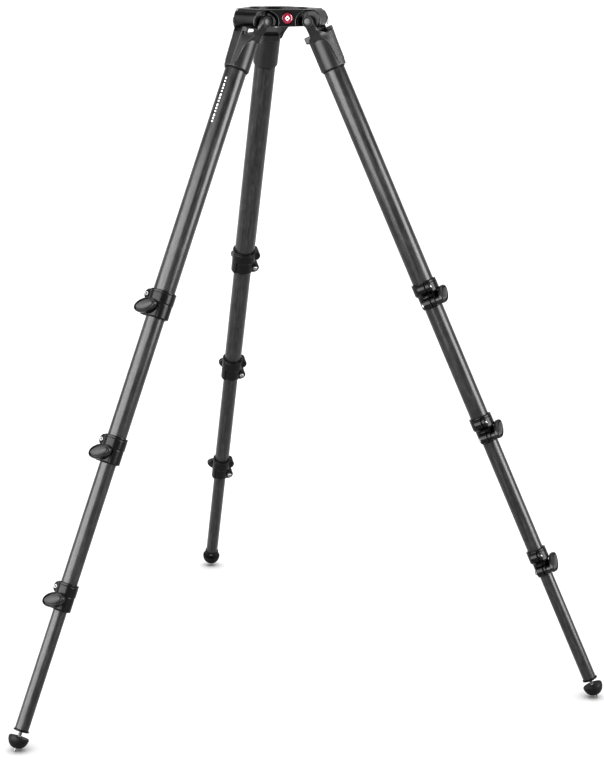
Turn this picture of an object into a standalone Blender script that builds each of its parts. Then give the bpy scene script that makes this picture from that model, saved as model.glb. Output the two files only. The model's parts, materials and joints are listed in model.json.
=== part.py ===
"""Video tripod: three four-section tube legs on a 100 mm bowl hub.

Metres, +Z up. The ground is z = 0, one leg points along +Y, and the origin is the
middle of the footprint's box. Each leg is modelled in its own frame: the origin on
the leg's hinge, +X outward, +Y along the hinge, and +Z back up the leg.
"""
import bpy
import bmesh
from math import cos, pi, radians, sin
from mathutils import Matrix, Vector

MM = 0.001
GAP = 0.0003                      # air between neighbouring pieces
ROUND = 20                        # sides of a turned piece on a leg's axis

# Stance
SPLAY = radians(24.45)            # a leg's lean from vertical
LEG_NAMES = ("back", "left", "right")
LEG_AZIMUTHS = (radians(90), radians(210), radians(330))
HINGE_RADIUS = 60.2 * MM          # hub axis to a leg's hinge

# Hub
HUB_TOP = 20.0 * MM               # above the hinges
HUB_BOTTOM = -8.0 * MM
BOWL_RADIUS = 50.0 * MM           # seat of a 100 mm half ball
RIM_RADIUS = 56.0 * MM
LUG_HALF = 25.0 * MM              # hinge lug, along the hinge
LUG_SHOULDER = 66.0 * MM          # hub axis to the edge of a lug's flat top
PLATE_TOP = 19.5 * MM
PLATE_LOW = 18.2 * MM
PANEL_FACE = 60.0 * MM            # hub axis to a side panel's face
SCALLOP_RADIUS = 18.4 * MM        # clearance turned round a bracket's lobe
BARREL_RADIUS = 12.6 * MM         # the lug's round underside, about the hinge
BADGE_RADIUS = 9.6 * MM
BADGE_DEPTH = 1.6 * MM

# Hinge
PIN_RADIUS = 4.0 * MM
PIN_HEAD_RADIUS = 7.4 * MM
PIN_HEAD = 2.2 * MM
LOBE_RADIUS = 9.4 * MM
LOBE_INNER = 27.0 * MM            # along the hinge, from the leg's middle
LOBE_OUTER = 37.5 * MM

# Distances down the leg from its hinge
WEB_TOP = 25.5 * MM
SOCKET_END = 85.0 * MM
CLAMP_TOPS = (468.8 * MM, 715.8 * MM, 963.3 * MM)
CLAMP_LENGTH = 45.6 * MM
TUBE_END = 1206.0 * MM            # bottom of the last tube
SPIKE_TIP = 1243.0 * MM

# Tubes, from the largest to the smallest
TUBE_RADII = (18.0 * MM, 15.6 * MM, 13.4 * MM, 11.25 * MM)
TUBE_WALL = 1.5 * MM
TUBE_TOPS = (34.0 * MM, 250.0 * MM, 453.0 * MM, 654.0 * MM)

# Clamps
BAND_WALL = 3.5 * MM              # upper band, over the upper tube
SLEEVE_WALL = 3.0 * MM            # lower band, over the lower tube
SEAT = 20.5 * MM                  # how far the upper tube enters the collar
EAR_HALF = 9.3 * MM               # half height of a clamp ear
EAR_INNER = -8.0 * MM
SLIT = 1.4 * MM
BOSS = 7.6 * MM                   # knob's boss, from the ear to its back face
BOLT_RADIUS = 2.5 * MM
BOLT_DROP = 36.0 * MM             # below the collar's top
KNOB_BASE = 21.6 * MM             # knob's back face, outward from the largest clamp's axis
KNOB_LENGTH = 48.0 * MM
KNOB_WIDTH = 24.5 * MM
KNOB_THICK = 9.6 * MM
KNOB_END = 7.0 * MM               # bolt to the knob's near end
KNOB_TILT = radians(18)
KNOB_SIDES = 22

# Foot
SPIKE_RADIUS = 2.9 * MM
FOOT_PROFILE = ((15.8, 1218.6), (16.4, 1219.4), (16.2, 1223.5), (14.6, 1228.5), (11.4, 1233.0),
                (7.2, 1236.0), (4.2, 1236.8), (3.2, 1236.8), (3.2, 1218.6))


# ---------------------------------------------------------------- scene helpers

def clear_scene():
    for thing in list(bpy.data.objects):
        bpy.data.objects.remove(thing, do_unlink=True)


def material(name, colour, roughness, metallic):
    made = bpy.data.materials.new(name)
    made.use_nodes = True
    shader = made.node_tree.nodes["Principled BSDF"]
    shader.inputs["Base Color"].default_value = (*colour, 1.0)
    shader.inputs["Roughness"].default_value = roughness
    shader.inputs["Metallic"].default_value = metallic
    return made


def empty(name, parent=None, location=(0, 0, 0), rotation=(0, 0, 0)):
    made = bpy.data.objects.new(name, None)
    bpy.context.scene.collection.objects.link(made)
    made.parent = parent
    made.location = location
    made.rotation_euler = rotation
    return made


def place(name, mesh, finish, parent, location=(0, 0, 0), rotation=(0, 0, 0), sharp=35):
    """Link a mesh as one named object with its own finish."""
    made = bpy.data.objects.new(name, mesh)
    bpy.context.scene.collection.objects.link(made)
    made.parent = parent
    made.location = location
    made.rotation_euler = rotation
    if not mesh.materials:
        mesh.materials.append(finish)
        mesh.shade_smooth()
        mesh.set_sharp_from_angle(angle=radians(sharp))
    return made


# ---------------------------------------------------------------- mesh helpers

def finished(shape, name):
    bmesh.ops.recalc_face_normals(shape, faces=shape.faces)
    mesh = bpy.data.meshes.new(name)
    shape.to_mesh(mesh)
    shape.free()
    return mesh


def skin(shape, rings, closed=False):
    """Join rings of equal length with quads; cap both ends unless the row is closed."""
    loops = [[shape.verts.new(point) for point in ring] for ring in rings]
    pairs = list(zip(loops, loops[1:]))
    if closed:
        pairs.append((loops[-1], loops[0]))
    count = len(loops[0])
    for upper, lower in pairs:
        for i in range(count):
            j = (i + 1) % count
            shape.faces.new((upper[i], upper[j], lower[j], lower[i]))
    if not closed:
        shape.faces.new(loops[0])
        shape.faces.new(list(reversed(loops[-1])))


def loft(rings, name):
    shape = bmesh.new()
    skin(shape, rings)
    return finished(shape, name)


def turned(profile, name, sides=ROUND, phase=0.0):
    """A ring turned about Z from a closed (radius, z) outline that stays off the axis."""
    shape = bmesh.new()
    rings = []
    for radius, z in profile:
        angles = [phase + 2 * pi * i / sides for i in range(sides)]
        rings.append([(radius * cos(a), radius * sin(a), z) for a in angles])
    skin(shape, rings, closed=True)
    return finished(shape, name)


def spindle(profile, name, sides=ROUND):
    """A solid turned about Z from (radius, z) points, closed by a flat at each end."""
    rings = []
    for radius, z in profile:
        rings.append([(radius * cos(2 * pi * i / sides), radius * sin(2 * pi * i / sides), z)
                      for i in range(sides)])
    return loft(rings, name)


def box(low, high, name):
    (x0, y0, z0), (x1, y1, z1) = low, high
    return loft([[(x0, y0, z), (x1, y0, z), (x1, y1, z), (x0, y1, z)] for z in (z0, z1)], name)


def moved(mesh, matrix):
    mesh.transform(matrix)
    mesh.update()
    return mesh


def arc(centre, radius, start, end, steps):
    """Points of an arc in a plane, angles in degrees."""
    return [(centre[0] + radius * cos(radians(start + (end - start) * i / steps)),
             centre[1] + radius * sin(radians(start + (end - start) * i / steps)))
            for i in range(steps + 1)]


def combine(base, *steps):
    """Apply Boolean steps in order, each (operation, mesh), and give the mesh they make."""
    body = bpy.data.objects.new("body", base)
    bpy.context.scene.collection.objects.link(body)
    tools = []
    for number, (operation, mesh) in enumerate(steps):
        tool = bpy.data.objects.new(f"tool_{number}", mesh)
        bpy.context.scene.collection.objects.link(tool)
        tools.append(tool)
        step = body.modifiers.new(f"step_{number}", "BOOLEAN")
        step.solver = "EXACT"
        step.operation = operation
        step.object = tool
    graph = bpy.context.evaluated_depsgraph_get()
    result = bpy.data.meshes.new_from_object(body.evaluated_get(graph))
    for thing in (body, *tools):
        bpy.data.objects.remove(thing, do_unlink=True)
    result.name = base.name
    tidy = bmesh.new()
    tidy.from_mesh(result)
    bmesh.ops.remove_doubles(tidy, verts=tidy.verts, dist=0.02 * MM)
    bmesh.ops.triangulate(tidy, faces=[f for f in tidy.faces if len(f.verts) > 4])
    tidy.to_mesh(result)
    tidy.free()
    return result


# Turns that bring the Z axis onto another axis
ALONG_Y = Matrix.Rotation(radians(-90), 4, "X")
ALONG_X = Matrix.Rotation(radians(90), 4, "Y")


# ---------------------------------------------------------------- hub

def hinge_line(azimuth):
    """The transform that brings the Z axis onto a leg's hinge."""
    return Matrix.Rotation(azimuth, 4, "Z") @ Matrix.Translation((HINGE_RADIUS, 0, 0)) @ ALONG_Y


def panel_mesh(azimuth):
    """A side panel between two legs, scalloped round the bracket lobe at each end."""
    panel = box((46 * MM, -36 * MM, HUB_BOTTOM + 0.6 * MM),
                (PANEL_FACE, 36 * MM, PLATE_LOW + 0.6 * MM), "panel")
    cuts = []
    near = LUG_HALF + 1 * MM
    for turn, low, high in ((-pi / 3, near, 58 * MM), (pi / 3, -58 * MM, -near)):
        scallop = spindle(((SCALLOP_RADIUS, low), (SCALLOP_RADIUS, high)), "scallop", 28)
        cuts.append(("DIFFERENCE", moved(scallop, hinge_line(azimuth + turn))))
    return combine(moved(panel, Matrix.Rotation(azimuth, 4, "Z")), *cuts)


def lug_mesh(azimuth):
    """A hinge lug: flat on top and below, with a round outer face."""
    top = PLATE_TOP - 0.2 * MM
    low = HUB_BOTTOM + 0.3 * MM
    outline = [(46 * MM, top), (LUG_SHOULDER + 0.6 * MM, top), (72.5 * MM, top - 3 * MM),
               (76.4 * MM, top - 9 * MM), (77.5 * MM, top - 15 * MM), (76.6 * MM, top - 22 * MM),
               (73.4 * MM, low), (46 * MM, low)]
    lug = loft([[(x, y, z) for x, z in outline] for y in (-LUG_HALF, LUG_HALF)], "lug")
    return moved(lug, Matrix.Rotation(azimuth, 4, "Z"))


def plate_mesh():
    """The hexagonal top plate that ties the lugs and the panels together."""
    corner = (PANEL_FACE + 0.5 * MM - LUG_SHOULDER * cos(pi / 3)) / sin(pi / 3)
    outline = []
    for azimuth in LEG_AZIMUTHS:
        turn = Matrix.Rotation(azimuth, 4, "Z")
        outline += [turn @ Vector((LUG_SHOULDER, y, 0)) for y in (-corner, corner)]
    return loft([[(v.x, v.y, z) for v in outline] for z in (PLATE_LOW, PLATE_TOP)], "plate")


def hub_mesh():
    """The spider casting: bowl ring, top plate, three hinge lugs and three side panels."""
    ring = spindle(((RIM_RADIUS - 1 * MM, HUB_TOP), (RIM_RADIUS, HUB_TOP - 1 * MM),
                    (RIM_RADIUS, HUB_BOTTOM + 2 * MM), (RIM_RADIUS - 2 * MM, HUB_BOTTOM)), "hub", 40)
    steps = [("UNION", plate_mesh())]
    for azimuth in LEG_AZIMUTHS:
        steps.append(("UNION", lug_mesh(azimuth)))
        reach = LUG_HALF - 0.3 * MM
        barrel = spindle(((BARREL_RADIUS, -reach), (BARREL_RADIUS, reach)), "barrel", 28)
        steps.append(("UNION", moved(barrel, hinge_line(azimuth))))
        steps.append(("UNION", panel_mesh(azimuth + pi / 3)))
    for azimuth in LEG_AZIMUTHS:
        bore = spindle(((PIN_RADIUS + GAP, -45 * MM), (PIN_RADIUS + GAP, 45 * MM)), "bore", 12)
        steps.append(("DIFFERENCE", moved(bore, hinge_line(azimuth))))
    front = Matrix.Rotation(radians(270), 4, "Z") @ ALONG_X
    recess = spindle(((BADGE_RADIUS + GAP, PANEL_FACE - BADGE_DEPTH),
                      (BADGE_RADIUS + GAP, PANEL_FACE + 5 * MM)), "recess", 24)
    centre = Matrix.Translation((0, 0, (HUB_TOP + HUB_BOTTOM) / 2))
    steps.append(("DIFFERENCE", moved(recess, centre @ front)))
    # The seat is part of a sphere whose middle is a little above the rim.
    depths = [HUB_TOP + 2 * MM - HUB_BOTTOM + 1 * MM - 30 * MM * i / 4 for i in range(5)]
    seat = [((BOWL_RADIUS ** 2 - depth ** 2) ** 0.5, HUB_TOP + 2 * MM - depth) for depth in depths]
    seat.append((BOWL_RADIUS + 1.2 * MM, HUB_TOP + 3 * MM))
    steps.append(("DIFFERENCE", spindle(seat, "seat", 40)))
    return combine(ring, *steps)


def badge_mesh():
    """A plain domed disc for the front panel."""
    back = PANEL_FACE - BADGE_DEPTH + GAP
    disc = spindle(((BADGE_RADIUS, back), (BADGE_RADIUS, PANEL_FACE + 0.3 * MM),
                    (BADGE_RADIUS - 1.2 * MM, PANEL_FACE + 1.0 * MM)), "badge", 24)
    centre = Matrix.Translation((0, 0, (HUB_TOP + HUB_BOTTOM) / 2))
    return moved(disc, centre @ Matrix.Rotation(radians(270), 4, "Z") @ ALONG_X)


# ---------------------------------------------------------------- leg top

def pin_mesh():
    half = LOBE_OUTER - 0.3 * MM
    neck = half - PIN_HEAD
    pin = spindle(((PIN_HEAD_RADIUS, -half), (PIN_HEAD_RADIUS, -neck), (PIN_RADIUS, -neck),
                   (PIN_RADIUS, neck), (PIN_HEAD_RADIUS, neck), (PIN_HEAD_RADIUS, half)), "hinge_pin", 12)
    return moved(pin, ALONG_Y)


def shield_ring(drop, edge_x, edge_y, middle_x, middle_y):
    """One cross-section of the bracket's outer shield: a flat middle and two sloping sides."""
    half = [(middle_x, middle_y), (edge_x, edge_y), (edge_x - 4 * MM, edge_y - 0.5 * MM),
            (-2 * MM, min(edge_y, 17 * MM) - 4 * MM)]
    left = [(x, y, -drop) for x, y in half]
    right = [(x, -y, -drop) for x, y in reversed(half)]
    return left + right


def arm_ring(drop, back, edge_x, inner_y, edge_y, inner_x):
    """One cross-section of a hinge arm on the +Y side."""
    return [(back, inner_y, -drop), (inner_x, inner_y, -drop), (edge_x, edge_y, -drop),
            (back + 1.5 * MM, edge_y, -drop)]


def bracket_mesh():
    """The leg's top casting: tube socket, outer shield, two hinge arms and an inner stop block."""
    socket = spindle(((19.6 * MM, -WEB_TOP - 0.5 * MM), (21.0 * MM, -WEB_TOP - 3 * MM),
                      (21.0 * MM, -SOCKET_END + 1 * MM), (20.2 * MM, -SOCKET_END)), "bracket")
    shield = loft([shield_ring(d * MM, ex * MM, ey * MM, mx * MM, my * MM) for d, ex, ey, mx, my in (
        (25.5, 7.4, 24.4, 22.6, 9.6), (30, 8.8, 23.0, 22.6, 9.4), (38, 12.6, 20.2, 22.4, 8.8),
        (50, 15.9, 16.0, 22.1, 8.0), (84.6, 17.6, 12.2, 21.9, 6.4))], "shield")
    steps = [("UNION", shield)]
    stations = ((0, -9.2, 9.2, 27.1, 37.4, 9.2), (10, -8.9, 7.5, 26.4, 34.0, 8.6),
                (17, -9.4, 5.8, 25.6, 29.2, 10.0), (20.8, -10.2, 6.4, 24.0, 26.8, 12.0),
                (24, -11.0, 7.0, 18.0, 24.8, 15.2), (27, -11.8, 7.6, 13.0, 23.7, 18.2),
                (33, -12.5, 8.6, 8.0, 21.2, 15.0))
    for side in (1, -1):
        flip = Matrix.Scale(side, 4, (0, 1, 0))
        arm = loft([arm_ring(*(value * MM for value in row)) for row in stations], "arm")
        lobe = spindle(((LOBE_RADIUS, LOBE_INNER), (LOBE_RADIUS, LOBE_OUTER - 0.6 * MM),
                        (LOBE_RADIUS - 0.6 * MM, LOBE_OUTER)), "lobe", 24)
        for piece in (arm, moved(lobe, ALONG_Y)):
            piece = moved(piece, flip)
            if side < 0:
                piece.flip_normals()
            steps.append(("UNION", piece))
    stop = box((-23.5 * MM, -13.4 * MM, -32 * MM), (-8 * MM, 13.4 * MM, -21 * MM), "stop")
    steps.append(("UNION", stop))
    tube_hole = spindle(((TUBE_RADII[0] + GAP, -TUBE_TOPS[0] + GAP), (TUBE_RADII[0] + GAP, -0.1)), "hole")
    steps.append(("DIFFERENCE", tube_hole))
    steps.append(("DIFFERENCE", moved(spindle(((PIN_RADIUS + GAP, -0.05), (PIN_RADIUS + GAP, 0.05)),
                                              "pin_hole", 12), ALONG_Y)))
    counter = PIN_HEAD_RADIUS + GAP
    neck = LOBE_OUTER - PIN_HEAD - 0.6 * MM
    for low, high in ((neck, 0.05), (-0.05, -neck)):
        steps.append(("DIFFERENCE", moved(spindle(((counter, low), (counter, high)), "counterbore", 12),
                                          ALONG_Y)))
    slot = box((1.4 * MM, 9.2 * MM, -30.4 * MM), (22.5 * MM, 13.8 * MM, -20 * MM), "slot")
    steps.append(("DIFFERENCE", slot))
    return combine(socket, *steps)


def selector_mesh():
    """The angle selector: a thumb tab on a tongue that slides in the bracket's slot."""
    tab = box((14.0 * MM, 7.0 * MM, -25.2 * MM), (22.4 * MM, 14.2 * MM, -17.6 * MM), "angle_selector")
    tongue = box((2 * MM, 9.5 * MM, -29.8 * MM), (18 * MM, 13.5 * MM, -24 * MM), "tongue")
    return combine(tab, ("UNION", tongue))


# ---------------------------------------------------------------- tubes and clamps

def tube_mesh(radius, top, bottom, name):
    inner = radius - TUBE_WALL
    return turned(((radius, -top), (radius, -bottom), (inner, -bottom), (inner, -top)), name)


def ear(upper, wall_middle, middle, name):
    """A clamp ear that stands off the collar towards -Y, with a round tip, rooted in the wall."""
    line = bolt_line(upper)
    outline = [(-line - 7.5 * MM + EAR_HALF + y, middle + z) for y, z in arc((0, 0), EAR_HALF, 90, 270, 6)]
    root = -0.5 * upper
    outline += [(root, middle - EAR_HALF), (root, middle + EAR_HALF)]
    block = loft([[(x, y, z) for y, z in outline] for x in (EAR_INNER, ear_outer(upper))], name)
    inside = spindle(((wall_middle, middle - 2 * EAR_HALF), (wall_middle, middle + 2 * EAR_HALF)), "inside")
    return combine(block, ("DIFFERENCE", inside))


def ear_outer(upper):
    """The outward face of a clamp's ears, where the knob's boss starts."""
    return knob_back(upper) - BOSS


def bolt_line(upper):
    """How far a clamp's bolts stand from the leg's axis."""
    return upper + 2.8 * MM


def collar_mesh(upper, lower, name):
    """A clamp collar: an upper band round one tube, and a split band that grips the next."""
    outer = upper + BAND_WALL
    sleeve = lower + SLEEVE_WALL
    seat = SEAT + GAP
    ring = turned(((outer, 0), (outer, -19.5 * MM), (sleeve, -22.5 * MM),
                   (sleeve, -CLAMP_LENGTH + 3 * MM), (sleeve - 1.6 * MM, -CLAMP_LENGTH),
                   (lower + GAP, -CLAMP_LENGTH), (lower + GAP, -seat), (upper + GAP, -seat),
                   (upper + GAP, 0)), name)
    hole = moved(spindle(((BOLT_RADIUS + GAP, -0.03), (BOLT_RADIUS + GAP, 0.03)), "hole", 8), ALONG_X)
    slit = upper / 3
    return combine(
        ring,
        ("UNION", spine(lower + SLEEVE_WALL / 2, outer - 0.4 * MM, "spine")),
        ("UNION", ear(upper, upper + BAND_WALL / 2, -10.3 * MM, "upper_ear")),
        ("UNION", ear(upper, lower + SLEEVE_WALL / 2, -BOLT_DROP, "lower_ear")),
        ("DIFFERENCE", box((slit - SLIT / 2, -0.05, -0.06), (slit + SLIT / 2, -5 * MM, 0.01), "slit")),
        ("DIFFERENCE", moved(hole, Matrix.Translation((0, -bolt_line(upper), -BOLT_DROP)))),
    )


def spine(inner, outer, name):
    """The collar's straight back, opposite the ears, between the two bands' surfaces."""
    outline = arc((0, 0), outer, 52, 128, 6) + arc((0, 0), inner, 128, 52, 4)
    levels = (-SEAT - 0.8 * MM, 1.4 * MM - CLAMP_LENGTH)
    return loft([[(x, y, z) for x, y in outline] for z in levels], name)


def bolt_mesh(upper):
    """The clamp bolt with its nut, along the outward direction, from the ear to the knob."""
    nut = EAR_INNER - GAP
    end = knob_back(upper) + 5 * MM
    across = 4.2 * MM
    return moved(spindle(((across, nut - 3.4 * MM), (across, nut), (BOLT_RADIUS, nut), (BOLT_RADIUS, end)),
                         "clamp_bolt", 8), ALONG_X)


def knob_back(upper):
    return KNOB_BASE - TUBE_RADII[0] + upper


def knob_mesh(upper):
    """An oval clamp knob with a boss, its origin on the bolt at the leg axis's height."""
    back = knob_back(upper)
    middle = KNOB_LENGTH / 2 - KNOB_END

    def oval(x, length, width):
        ring = []
        for i in range(KNOB_SIDES):
            a = 2 * pi * i / KNOB_SIDES
            ring.append((x, middle + length / 2 * cos(a), width / 2 * sin(a)))
        return ring

    paddle = loft([oval(back, KNOB_LENGTH - 0.6 * MM, KNOB_WIDTH - 0.6 * MM),
                   oval(back + 0.5 * KNOB_THICK, KNOB_LENGTH, KNOB_WIDTH),
                   oval(back + 0.85 * KNOB_THICK, KNOB_LENGTH - 6 * MM, KNOB_WIDTH - 6 * MM),
                   oval(back + KNOB_THICK, KNOB_LENGTH - 14 * MM, KNOB_WIDTH - 13 * MM)], "clamp_knob")
    paddle = moved(paddle, Matrix.Rotation(KNOB_TILT, 4, "X"))
    start = ear_outer(upper) + GAP
    boss = moved(spindle(((5.6 * MM, start), (5.6 * MM, back + 2 * MM)), "boss", 12), ALONG_X)
    hole = spindle(((BOLT_RADIUS + GAP, 0), (BOLT_RADIUS + GAP, back + 5.4 * MM)), "hole", 8)
    return combine(paddle, ("UNION", boss), ("DIFFERENCE", moved(hole, ALONG_X)))


# ---------------------------------------------------------------- foot

def plug_mesh():
    """The flanged plug in the end of the last tube, with a bore for the spike."""
    inner = TUBE_RADII[3] - TUBE_WALL - GAP
    flange = 13.0 * MM
    bore = SPIKE_RADIUS + GAP
    return turned(((inner, -TUBE_END + 14 * MM), (inner, -TUBE_END - GAP), (flange, -TUBE_END - GAP),
                   (flange, -TUBE_END - 2.4 * MM), (flange - 2 * MM, -TUBE_END - 3 * MM),
                   (bore, -TUBE_END - 3 * MM), (bore, -TUBE_END + 14 * MM)), "end_plug")


def spike_mesh():
    """The threaded spike: a rod with a pointed end and a lock flange above the plug."""
    rod = SPIKE_RADIUS
    return spindle(((rod + 2.4 * MM, -TUBE_END + 17 * MM), (rod + 2.4 * MM, -TUBE_END + 14.3 * MM),
                    (rod, -TUBE_END + 14.3 * MM), (rod, -SPIKE_TIP + 10 * MM), (0.6 * MM, -SPIKE_TIP)),
                   "spike", 12)


def foot_mesh():
    return turned([(r * MM, -s * MM) for r, s in FOOT_PROFILE], "rubber_foot")


# ---------------------------------------------------------------- stance

def stance():
    """Where the hub's axis and the hinges' height are, with the origin centred under the feet."""
    lean, rise = sin(SPLAY), cos(SPLAY)
    far = HINGE_RADIUS + max(s * MM * lean + r * MM * rise for r, s in FOOT_PROFILE)
    height = SPIKE_TIP * rise + 0.6 * MM * lean
    # The front legs lean partly along X, so their reach along -Y is found from their own slope.
    along = -Vector((lean * cos(LEG_AZIMUTHS[1]), lean * sin(LEG_AZIMUTHS[1]), -rise)).y
    across = (1 - along ** 2) ** 0.5
    near = HINGE_RADIUS * 0.5 + max(s * MM * along + r * MM * across for r, s in FOOT_PROFILE)
    return Vector((0, (near - far) / 2, height))


# ---------------------------------------------------------------- the whole tripod

def build():
    clear_scene()
    hub_finish = material("hub_casting", (0.022, 0.022, 0.024), 0.42, 0.0)
    badge_finish = material("badge_red", (0.50, 0.018, 0.055), 0.25, 0.0)
    bracket_finish = material("bracket_casting", (0.075, 0.077, 0.080), 0.45, 0.0)
    carbon_finish = material("carbon_tube", (0.060, 0.060, 0.062), 0.32, 0.0)
    collar_finish = material("clamp_collar", (0.016, 0.016, 0.017), 0.38, 0.0)
    knob_finish = material("clamp_knob", (0.070, 0.070, 0.073), 0.40, 0.0)
    steel_finish = material("steel", (0.62, 0.61, 0.59), 0.28, 1.0)
    rubber_finish = material("rubber", (0.014, 0.014, 0.014), 0.70, 0.0)

    hub = empty("hub_axis", location=stance())
    place("hub", hub_mesh(), hub_finish, hub)
    place("badge", badge_mesh(), badge_finish, hub)

    pin, bracket, selector = pin_mesh(), bracket_mesh(), selector_mesh()
    ends = [top + SEAT for top in CLAMP_TOPS] + [TUBE_END]
    tubes = [tube_mesh(radius, top, end, f"tube_{n + 1}")
             for n, (radius, top, end) in enumerate(zip(TUBE_RADII, TUBE_TOPS, ends))]
    collars = [collar_mesh(TUBE_RADII[n], TUBE_RADII[n + 1], f"collar_{n + 1}") for n in range(3)]
    bolts = [bolt_mesh(TUBE_RADII[n]) for n in range(3)]
    knobs = [knob_mesh(TUBE_RADII[n]) for n in range(3)]
    plug, spike, foot = plug_mesh(), spike_mesh(), foot_mesh()

    for leg, azimuth in zip(LEG_NAMES, LEG_AZIMUTHS):
        hinge = empty(f"hinge_{leg}", hub, (HINGE_RADIUS * cos(azimuth), HINGE_RADIUS * sin(azimuth), 0),
                      (0, -SPLAY, azimuth))
        place(f"hinge_pin_{leg}", pin, steel_finish, hinge)
        place(f"leg_bracket_{leg}", bracket, bracket_finish, hinge)
        place(f"angle_selector_{leg}", selector, collar_finish, hinge)
        for n, mesh in enumerate(tubes):
            place(f"tube_{n + 1}_{leg}", mesh, carbon_finish, hinge)
        for n, top in enumerate(CLAMP_TOPS):
            bolt_at = (0, -bolt_line(TUBE_RADII[n]), -top - BOLT_DROP)
            place(f"clamp_collar_{n + 1}_{leg}", collars[n], collar_finish, hinge, (0, 0, -top))
            place(f"clamp_bolt_{n + 1}_{leg}", bolts[n], steel_finish, hinge, bolt_at)
            place(f"clamp_knob_{n + 1}_{leg}", knobs[n], knob_finish, hinge, bolt_at)
        place(f"end_plug_{leg}", plug, collar_finish, hinge)
        place(f"spike_{leg}", spike, steel_finish, hinge)
        place(f"rubber_foot_{leg}", foot, rubber_finish, hinge)


build()
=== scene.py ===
"""Video tripod: the detailed pieces, finishes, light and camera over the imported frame.

Metres, +Z up. Each leg's pieces are made once in the leg's own frame (origin on the
hinge, +X outward, +Y along the hinge, +Z back up the leg) and placed on all three legs.
"""

import json
from math import asin, atan2, cos, pi, radians, sin

import bmesh
import bpy
from mathutils import Matrix, Vector

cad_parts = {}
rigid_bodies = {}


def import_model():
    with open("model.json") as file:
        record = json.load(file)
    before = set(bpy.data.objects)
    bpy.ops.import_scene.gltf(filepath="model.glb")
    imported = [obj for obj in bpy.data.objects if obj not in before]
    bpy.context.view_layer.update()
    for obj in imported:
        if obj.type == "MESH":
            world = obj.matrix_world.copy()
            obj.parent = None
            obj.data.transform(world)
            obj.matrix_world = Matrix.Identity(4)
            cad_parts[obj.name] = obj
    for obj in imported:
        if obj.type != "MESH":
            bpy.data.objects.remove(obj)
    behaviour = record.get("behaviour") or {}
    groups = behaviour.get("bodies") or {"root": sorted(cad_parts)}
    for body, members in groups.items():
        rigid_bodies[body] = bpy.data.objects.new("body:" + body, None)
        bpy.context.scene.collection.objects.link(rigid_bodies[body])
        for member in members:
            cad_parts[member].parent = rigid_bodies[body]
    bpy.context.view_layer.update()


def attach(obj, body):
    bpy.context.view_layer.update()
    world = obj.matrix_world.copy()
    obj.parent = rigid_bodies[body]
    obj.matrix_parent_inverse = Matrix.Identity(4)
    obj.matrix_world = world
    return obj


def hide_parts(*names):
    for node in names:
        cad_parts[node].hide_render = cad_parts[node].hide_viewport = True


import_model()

MM = 0.001
GAP = 0.3 * MM

# ---------------------------------------------------------------- dimensions

SPLAY = radians(24.45)
LEGS = {"back": radians(90), "left": radians(210), "right": radians(330)}
HINGE_RADIUS = 60.2 * MM
HUB_AXIS = Vector((0.0, -0.141407, 1.131780))

HUB_TOP, HUB_BOTTOM = 20.0 * MM, -8.0 * MM
BOWL_RADIUS, RIM_RADIUS = 50.0 * MM, 56.0 * MM
LUG_HALF, LUG_SHOULDER = 25.0 * MM, 66.0 * MM
PLATE_TOP, PLATE_LOW = 19.5 * MM, 18.2 * MM
PANEL_FACE = 60.0 * MM
SCALLOP_RADIUS = 18.4 * MM
BARREL_RADIUS = 12.6 * MM
BADGE_RADIUS, BADGE_DEPTH = 9.6 * MM, 1.6 * MM

PIN_RADIUS, PIN_HEAD_RADIUS, PIN_HEAD = 4.0 * MM, 7.4 * MM, 2.2 * MM
LOBE_RADIUS, LOBE_INNER, LOBE_OUTER = 9.4 * MM, 27.0 * MM, 37.5 * MM

WEB_TOP, SOCKET_END = 25.5 * MM, 85.0 * MM
CLAMP_TOPS = (468.8 * MM, 715.8 * MM, 963.3 * MM)
CLAMP_LENGTH = 45.6 * MM
TUBE_END, SPIKE_TIP = 1206.0 * MM, 1243.0 * MM
TUBE_RADII = (18.0 * MM, 15.6 * MM, 13.4 * MM, 11.25 * MM)
TUBE_WALL = 1.5 * MM
TUBE_TOPS = (34.0 * MM, 250.0 * MM, 453.0 * MM, 654.0 * MM)

BAND_WALL, SLEEVE_WALL, SEAT = 3.5 * MM, 3.0 * MM, 20.5 * MM
EAR_HALF, EAR_INNER, SLIT = 9.3 * MM, -8.0 * MM, 1.4 * MM
BOSS, BOLT_RADIUS, BOLT_DROP = 7.6 * MM, 2.5 * MM, 36.0 * MM
KNOB_BASE, KNOB_LENGTH, KNOB_WIDTH = 21.6 * MM, 48.0 * MM, 24.5 * MM
KNOB_THICK, KNOB_END, KNOB_TILT = 9.6 * MM, 7.0 * MM, radians(18)
SPIKE_RADIUS = 2.9 * MM

ALONG_Y = Matrix.Rotation(radians(-90), 4, "X")
ALONG_X = Matrix.Rotation(radians(90), 4, "Y")
HUB = Matrix.Translation(HUB_AXIS)


def leg_frame(azimuth):
    return (HUB @ Matrix.Rotation(azimuth, 4, "Z") @ Matrix.Translation((HINGE_RADIUS, 0, 0))
            @ Matrix.Rotation(-SPLAY, 4, "Y"))


# ---------------------------------------------------------------- materials

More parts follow.
